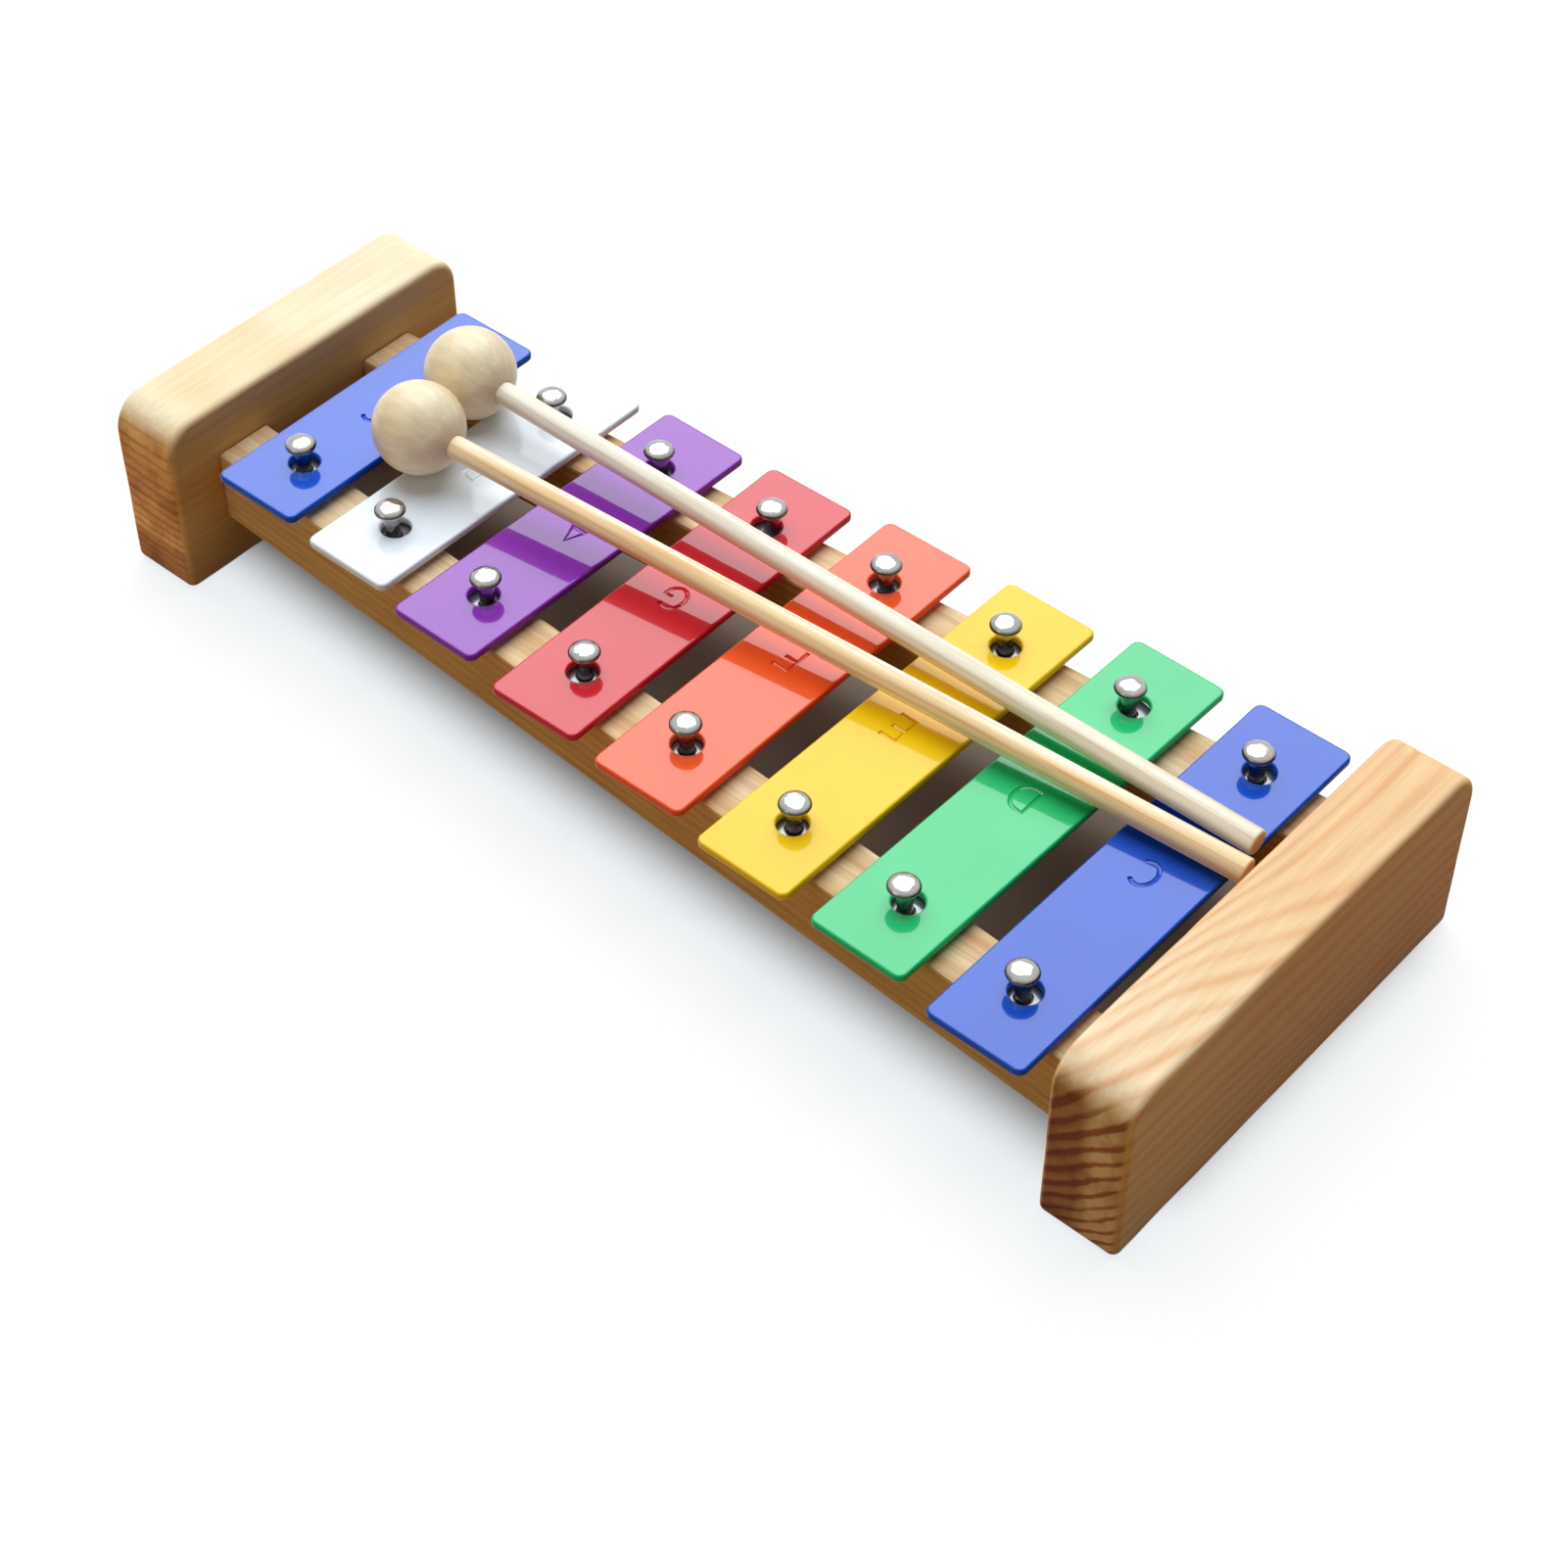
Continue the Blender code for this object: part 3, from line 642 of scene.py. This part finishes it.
def platedMaterial():
    material, nodes, links, shader = newMaterial("brightPlating")
    cloud = noiseNode(nodes, links, scaledPlace(nodes, links, (1, 1, 1)), nails["cloudScale"], nails["cloudDetail"])
    tint = cloudyTint(nodes, links, cloud, nails["plating"], nails)
    # painted dark reflection: the steep edge of each dome is darkened to stand in for the dark room it would mirror,
    # the underside and neck a little darker, and the crown keeps the plain plating
    dark = nails["paintedRimDark"]
    stops = (
        (nails["underUpTo"], nails["under"]), (nails["darkFrom"], dark),
        (nails["darkUpTo"], dark), (nails["brightFrom"], (1, 1, 1)),
    )
    paintedHeadShade = rampNode(nodes, links, facingAxes(nodes, links)["Z"], stops)
    links.new(mixColour(nodes, links, "MULTIPLY", 1.0, tint, paintedHeadShade), shader.inputs["Base Color"])
    shader.inputs["Metallic"].default_value = 1.0
    smoothest, roughest = nails["roughnessSpan"]
    rough = mathNode(nodes, links, "MULTIPLY_ADD", cloud, roughest - smoothest, smoothest)
    links.new(rough, shader.inputs["Roughness"])
    place = scaledPlace(nodes, links, (1, 1, 1))
    dents = noiseNode(nodes, links, place, nails["dentScale"], nails["dentDetail"])
    links.new(bumpNode(nodes, links, dents, nails["dentDepth"], nails["dentBump"]), shader.inputs["Normal"])
    return material


def washerMaterial():
    material, nodes, links, shader = newMaterial("greyWasher")
    place = scaledPlace(nodes, links, (1, 1, 1))
    cloud = noiseNode(nodes, links, place, washers["cloudScale"], washers["cloudDetail"])
    links.new(cloudyTint(nodes, links, cloud, washers["colour"], washers), shader.inputs["Base Color"])
    shader.inputs["Roughness"].default_value = washers["roughness"]
    shader.inputs["Metallic"].default_value = washers["metallic"]
    links.new(bumpNode(nodes, links, cloud, washers["bumpDepth"], washers["bump"]), shader.inputs["Normal"])
    return material


def nailProfile(bottom, barTop, top):
    # dome, rolled rim, flaring throat, neck, shoulder, shank and point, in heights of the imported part
    head, roll = nails["headRadius"], nails["roll"]
    rimHeight = barTop + nails["rim"]
    points = [(0, top)]
    for k in range(1, nails["domeSteps"] + 1):
        angle = math.pi / 2 * (1 - k / nails["domeSteps"])
        points.append((head * math.cos(angle), rimHeight + nails["dome"] * math.sin(angle)))
    tuckIn, tuckDown = nails["rimTuck"]
    points += [(head - tuckIn, rimHeight - tuckDown), (head - roll, rimHeight - roll)]
    throatHeight = barTop + nails["throat"]
    for k in range(1, nails["throatSteps"] + 1):   # the flare sweeps from the rim into the throat
        angle = k / nails["throatSteps"] * math.pi / 2
        radius = head - roll + (nails["throatRadius"] - head + roll) * math.sin(angle)
        height = rimHeight - roll + (throatHeight - rimHeight + roll) * (1 - math.cos(angle))
        points.append((radius, height))
    neck, shank = nails["neckRadius"], nails["shankRadius"]
    flare, flareHeight = nails["neckFlare"]
    shoulder = bottom + nails["shankTop"]
    points += [(neck + flare, barTop + flareHeight), (neck, barTop), (neck, shoulder), (shank, shoulder)]
    return points + [(shank, bottom + nails["point"]), (0, bottom)]


def washerProfile(bottom):
    outer, inner, edge = washers["radius"], washers["hole"], washers["round"]
    top = bottom + washers["thickness"]
    tuck = edge * washers["tuckShare"]
    loop = [(inner, top), (outer - edge, top), (outer - tuck, top - tuck), (outer, top - edge)]
    loop += [(outer, bottom + edge), (outer - tuck, bottom + tuck), (outer - edge, bottom), (inner, bottom)]
    return loop + [loop[0]]


def closeSeam(mesh):
    # joins the first and last ring of a profile that comes back to its start
    shape = bmesh.new()
    shape.from_mesh(mesh)
    bmesh.ops.remove_doubles(shape, verts=shape.verts, dist=washers["seam"])
    bmesh.ops.recalc_face_normals(shape, faces=shape.faces)
    shape.to_mesh(mesh)
    shape.free()


def makeNail(note, side, drift, finish):
    barTop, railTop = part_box("bar_" + note)[1].z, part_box("rail_front")[1].z
    low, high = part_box(f"nail_{note}_{side}")
    middle = (low + high) / 2
    mesh = spinProfile("nailShape", nailProfile(low.z, barTop, high.z), nails["steps"])
    for vertex in mesh.vertices:   # leaning out of the rail, so that the neck stays clear of the hole
        vertex.co += drift * max(0.0, (vertex.co.z - railTop) / (high.z - railTop))
    mesh.transform(Matrix.Translation((middle.x, middle.y, 0)))
    smoothMesh(mesh, nails["sharpAngle"])
    addPiece(f"domedNail_{note}_{side}", mesh, finish, "frame", (f"nail_{note}_{side}",))


def makeWasher(note, side, finish):
    low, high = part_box(f"washer_{note}_{side}")
    middle = (low + high) / 2
    mesh = spinProfile("washerShape", washerProfile(low.z), washers["steps"])
    mesh.transform(Matrix.Translation((middle.x, middle.y, 0)))
    closeSeam(mesh)
    smoothMesh(mesh, washers["sharpAngle"])
    addPiece(f"greyWasher_{note}_{side}", mesh, finish, "frame", (f"washer_{note}_{side}",))


plating = platedMaterial()
washerGrey = washerMaterial()
for index, note in enumerate(bars["notes"]):
    for side in ("front", "back"):
        makeNail(note, side, Vector((*nailDrift[side][index], 0)) * mm, plating)
        makeWasher(note, side, washerGrey)
print("nails and washers made")


# mallets

mallets = {
    "ballRadius": 10.25 * mm, "boreRadius": 2.75 * mm, "boreEnd": 1.75 * mm, "boreGap": 0.3 * mm,
    "stickRadius": 2.6 * mm, "buttRadius": 2.85 * mm, "edge": 0.6 * mm, "edgeTurns": (0.5, 1.0),   # radians
    "ballSteps": 64, "ballArcSteps": 32, "stickSteps": 32, "stickRuns": 6, "sharpAngle": 40,
    # where each ball sits and where its stick's butt lies, in the row frame
    "frontBall": (89.5 * mm, -12.1 * mm, 45.353 * mm), "frontButt": (-118.311 * mm, -16.235 * mm, 38.55 * mm),
    "backBall": (84.16 * mm, 8.8 * mm, 45.95 * mm), "backButt": (-121.186 * mm, -8.768 * mm, 38.55 * mm),
}
ballTint = {
    "stretch": (520, 520, 100), "stops": ((0.25, (0.82, 0.655, 0.40)), (0.75, (0.975, 0.83, 0.575))),
    "streakNoise": (4.0, 0.6),   # detail and roughness
    "bandStretch": (120, 120, 40), "bandShift": (0, 0, 0), "bandSpan": (0.42, 0.62), "band": (0.92, 0.87, 0.80),
    "end": (0.70, 0.54, 0.35), "endSharpness": 4.0, "roughness": 0.42, "lacquer": 0.4, "lacquerRoughness": 0.3,
    "fibreDepth": 0.04 * mm, "fibreBump": 0.4,
}
paleTint = dict(
    ballTint, stretch=(900, 900, 22), stops=((0.34, (0.78, 0.67, 0.49)), (0.58, (0.95, 0.90, 0.78))),
    bandStretch=(260, 260, 6), band=(0.97, 0.92, 0.84), end=(0.86, 0.52, 0.34), roughness=0.5, lacquer=0.1,
)
tanTint = dict(
    paleTint, stops=((0.34, (0.86, 0.60, 0.34)), (0.56, (1.00, 0.93, 0.73))),
    bandStretch=(300, 300, 7), bandShift=(3, 1, 0), band=(0.95, 0.74, 0.50), end=(0.88, 0.48, 0.26),
)


def turnedWood(name, tint):
    # fine straight grain along the stick, on a piece whose own Z is its length
    material, nodes, links, shader = newMaterial(name)
    streak = noiseNode(nodes, links, scaledPlace(nodes, links, tint["stretch"]), 1.0, *tint["streakNoise"])
    band = noiseNode(nodes, links, scaledPlace(nodes, links, tint["bandStretch"], tint["bandShift"]), 1.0, 1.0)
    colour = rampNode(nodes, links, streak, tint["stops"])
    band = fadeNode(nodes, links, band, tint["bandSpan"], tint["band"])
    colour = mixColour(nodes, links, "MULTIPLY", 1.0, colour, band)
    # the sawn end shows a warmer tone
    ownAxes = nodes.new("ShaderNodeSeparateXYZ")
    links.new(nodes.new("ShaderNodeTexCoord").outputs["Normal"], ownAxes.inputs[0])
    sharpness = tint["endSharpness"]
    sawn = shareNode(nodes, links, ownAxes.outputs["Z"], (-sharpness, 1 - sharpness))
    links.new(mixColour(nodes, links, "MIX", sawn, colour, tint["end"]), shader.inputs["Base Color"])
    shader.inputs["Roughness"].default_value = tint["roughness"]
    shader.inputs["Coat Weight"].default_value = tint["lacquer"]
    shader.inputs["Coat Roughness"].default_value = tint["lacquerRoughness"]
    links.new(bumpNode(nodes, links, streak, tint["fibreDepth"], tint["fibreBump"]), shader.inputs["Normal"])
    return material


def ballProfile():
    radius, bore, steps = mallets["ballRadius"], mallets["boreRadius"], mallets["ballArcSteps"]
    mouth = math.pi - math.asin(bore / radius)
    angles = [mouth * k / steps for k in range(1, steps + 1)]
    points = [(0, radius)] + [(radius * math.sin(angle), radius * math.cos(angle)) for angle in angles]
    return points + [(bore, mallets["boreEnd"]), (0, mallets["boreEnd"])]


def stickProfile(length):
    # even inside the ball, then a little thicker toward the butt, with both ends eased
    thin, butt, edge = mallets["stickRadius"], mallets["buttRadius"], mallets["edge"]
    top = mallets["boreEnd"] - mallets["boreGap"]
    mouth, runs, turns = -mallets["ballRadius"], mallets["stickRuns"], mallets["edgeTurns"]
    points = [(0, top), (thin - edge, top), (thin, top - edge), (thin, mouth)]
    points += [(thin + (butt - thin) * k / runs, mouth - (length + mouth) * k / runs) for k in range(1, runs)]
    points += [(butt, edge - length)]
    points += [(butt - edge * (1 - math.cos(a)), edge - length - edge * math.sin(a)) for a in turns]
    return points + [(butt - edge, -length), (0, -length)]


def makeMallet(side, stickFinish):
    ballPlace, buttPlace = Vector(mallets[side + "Ball"]), Vector(mallets[side + "Butt"])
    reach = ballPlace - buttPlace
    turn = reach.to_track_quat("Z", "Y").to_matrix().to_4x4()
    ball = spinProfile("ballShape", ballProfile(), mallets["ballSteps"])
    stick = spinProfile("stickShape", stickProfile(reach.length), mallets["stickSteps"])
    for part, mesh, finish in (("ball", ball, ballWood), ("stick", stick, stickFinish)):
        smoothMesh(mesh, mallets["sharpAngle"])
        name, node = f"mallet{part.title()}_{side}", f"mallet_{part}_{side}"
        piece = addPiece(name, mesh, finish, side + "_mallet", (node,))
        piece.matrix_world = Matrix.Translation(ballPlace) @ turn


ballWood = turnedWood("ballBeech", ballTint)
makeMallet("front", turnedWood("paleStick", paleTint))
makeMallet("back", turnedWood("tanStick", tanTint))
print("mallets made")


# stage, light and camera

stage = {
    # the paper's own shown colour is dark and warm, and it shows only where no glow covers it, as painted shade
    "floorSize": 6.0, "floorCells": 4, "floorShown": (0.30, 0.24, 0.19), "floorBounce": (0.36, 0.21, 0.08),
    "glowColour": (0.90, 0.96, 1.0), "floorGlow": 0.83, "farRise": 0.3,
    # the painted shade of dark ground round the object: half its length, and its half width and taper on the near and
    # the far side
    "glowFrom": 0.125, "nearRow": (0.022, 0.050), "farRow": (0.030, 0.070), "glowReach": 0.026,
    "fill": (0.92, 0.96, 1.0), "fillStrength": 0.17,
}
lamps = {
    "mainLight": {"place": (0.814, -0.906, 2.322), "size": 3.6, "power": 106.0, "colour": (0.93, 1.0, 1.05)},
    "sideLight": {"place": (0.30, 1.50, 0.55), "size": 1.0, "power": 3.4, "colour": (1.0, 0.84, 0.62)},
}
lampTarget = Vector((0, 0, 0.03))
camera = {
    "place": (-0.32181, 0.3581, 0.4894), "turn": (43.7435, -0.1632, -138.9739),
    "lens": 73.536, "sensor": 36.0, "nearest": 0.01,
}


def showDirectly(nodes, links, lighting, shown, output):
    # camera, mirror and glass rays meet the shown shader, and all other light the lighting one
    path = nodes.new("ShaderNodeLightPath")
    seen = mathNode(nodes, links, "MAXIMUM", path.outputs["Is Camera Ray"], path.outputs["Is Glossy Ray"])
    seen = mathNode(nodes, links, "MAXIMUM", seen, path.outputs["Is Transmission Ray"])
    mix = nodes.new("ShaderNodeMixShader")
    links.new(seen, mix.inputs["Fac"])
    links.new(lighting, mix.inputs[1])
    links.new(shown, mix.inputs[2])
    links.new(mix.outputs["Shader"], output)


def glowOutsidePaintedShade(nodes, links):
    # none under the object and full a little way off, so that the dark paper there is painted shade
    splitter = nodes.new("ShaderNodeSeparateXYZ")
    links.new(scaledPlace(nodes, links, (1, 1, 1)), splitter.inputs[0])
    axes = splitter.outputs
    pastEnd = mathNode(nodes, links, "SUBTRACT", mathNode(nodes, links, "ABSOLUTE", axes["X"]), stage["glowFrom"])
    pastEnd = mathNode(nodes, links, "MAXIMUM", pastEnd, 0.0)
    pastRow = 0.0
    for way, (reach, taper) in ((1, stage["nearRow"]), (-1, stage["farRow"])):   # the row is narrower at its high end
        edge = mathNode(nodes, links, "MULTIPLY_ADD", axes["X"], -taper, reach)
        pastEdge = mathNode(nodes, links, "SUBTRACT", mathNode(nodes, links, "MULTIPLY", axes["Y"], way), edge)
        pastRow = mathNode(nodes, links, "MAXIMUM", pastRow, pastEdge)
    squares = [mathNode(nodes, links, "POWER", past, 2.0) for past in (pastEnd, pastRow)]
    past = mathNode(nodes, links, "SQRT", mathNode(nodes, links, "ADD", *squares))
    spread = nodes.new("ShaderNodeMapRange")
    spread.interpolation_type = "SMOOTHERSTEP"
    spread.inputs["From Max"].default_value = stage["glowReach"]
    links.new(past, spread.inputs["Value"])
    farOff = shareNode(nodes, links, past, (stage["farRise"], stage["floorGlow"]))
    return mathNode(nodes, links, "MULTIPLY", spread.outputs["Result"], farOff)


def makeFloor():
    shape = bmesh.new()
    cells = stage["floorCells"]
    bmesh.ops.create_grid(shape, x_segments=cells, y_segments=cells, size=stage["floorSize"] / 2)
    mesh = bpy.data.meshes.new("studioFloor")
    shape.to_mesh(mesh)
    shape.free()
    floor = helperPiece("studioFloor", mesh)
    material, nodes, links, shader = newMaterial("floorPaper")
    shader.inputs["Base Color"].default_value = (*stage["floorShown"], 1.0)
    shader.inputs["Roughness"].default_value = 1.0
    shader.inputs["Specular IOR Level"].default_value = 0.0
    bounce = nodes.new("ShaderNodeBsdfDiffuse")
    bounce.inputs["Color"].default_value = (*stage["floorBounce"], 1.0)
    # away from the object the paper glows to a plain white, and under it the real shadow stays, deepened by the dark
    # paper as painted shade
    glow = nodes.new("ShaderNodeEmission")
    glow.inputs["Color"].default_value = (*stage["glowColour"], 1.0)
    links.new(glowOutsidePaintedShade(nodes, links), glow.inputs["Strength"])
    paper = nodes.new("ShaderNodeAddShader")
    links.new(shader.outputs["BSDF"], paper.inputs[0])
    links.new(glow.outputs["Emission"], paper.inputs[1])
    surface = nodes["Material Output"].inputs["Surface"]
    showDirectly(nodes, links, bounce.outputs["BSDF"], paper.outputs["Shader"], surface)
    mesh.materials.append(material)


def makeLamp(name, lamp):
    light = bpy.data.lights.new(name, "AREA")
    light.shape = "DISK"
    light.size = lamp["size"]
    light.energy = lamp["power"]
    light.color = lamp["colour"]
    holder = helperPiece(name, light)
    holder.location = lamp["place"]
    holder.visible_camera = False
    holder.rotation_euler = (lampTarget - Vector(lamp["place"])).to_track_quat("-Z", "Y").to_euler()


def makeWorld():
    world = bpy.data.worlds.new("studio")
    bpy.context.scene.world = world
    world.use_nodes = True
    nodes, links = world.node_tree.nodes, world.node_tree.links
    fill = nodes["Background"]
    fill.inputs["Color"].default_value = (*stage["fill"], 1.0)
    fill.inputs["Strength"].default_value = stage["fillStrength"]
    white = nodes.new("ShaderNodeBackground")
    white.inputs["Color"].default_value = (1, 1, 1, 1)
    surface = nodes["World Output"].inputs["Surface"]
    showDirectly(nodes, links, fill.outputs["Background"], white.outputs["Background"], surface)


makeFloor()
for name in lamps:
    makeLamp(name, lamps[name])
makeWorld()

eye = bpy.data.cameras.new("camera")
eye.lens = camera["lens"]
eye.sensor_width = camera["sensor"]
eye.clip_start = camera["nearest"]
viewer = helperPiece("camera", eye)
viewer.location = camera["place"]
viewer.rotation_euler = Euler([math.radians(a) for a in camera["turn"]])
bpy.context.scene.camera = viewer
bpy.context.scene.view_settings.view_transform = "Standard"
print("stage set")
